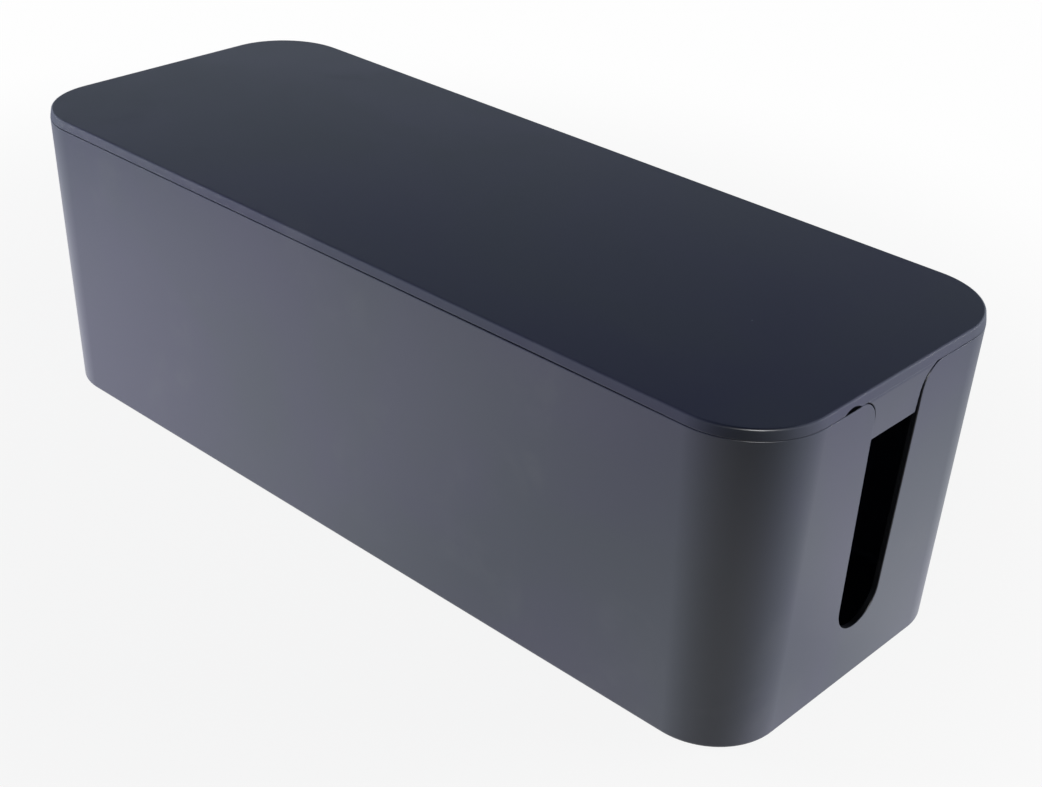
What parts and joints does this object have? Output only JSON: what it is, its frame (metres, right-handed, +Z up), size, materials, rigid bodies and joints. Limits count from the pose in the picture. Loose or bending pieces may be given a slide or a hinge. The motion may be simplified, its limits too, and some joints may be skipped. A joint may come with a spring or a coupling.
{
  "type": "cable management box",
  "caption": "Long lidded desk box that hides a power strip and its leads: drafted tub with a round-bottomed cable slot in each end, lift-off lid with end tabs, rubber feet.",
  "frame": {"origin": "on the ground, under the middle of the box", "axes": "+X along the length, +Y across the width with -Y the front long side, +Z up"},
  "size_m": [0.407, 0.156, 0.134],
  "materials": {
    "tub_plastic": "satin moulded plastic, dark blue-grey",
    "lid_plastic": "satin moulded plastic, dark blue-grey",
    "foot_rubber": "matt black rubber",
    "tape_adhesive": "pale double-sided adhesive foam"
  },
  "bodies": {
    "tub": {"tub": "tub_plastic", "foot_front_left": "foot_rubber", "foot_front_right": "foot_rubber", "foot_rear_left": "foot_rubber", "foot_rear_right": "foot_rubber", "tape_front_left": "tape_adhesive", "tape_front_right": "tape_adhesive", "tape_rear_left": "tape_adhesive", "tape_rear_right": "tape_adhesive"},
    "lid": {"lid": "lid_plastic"}
  },
  "joints": [
    {"name": "lid_lift", "type": "slide", "parent": "tub", "child": "lid", "axis": [0, 0, 1], "range_m": [0, 0.15]}
  ]
}
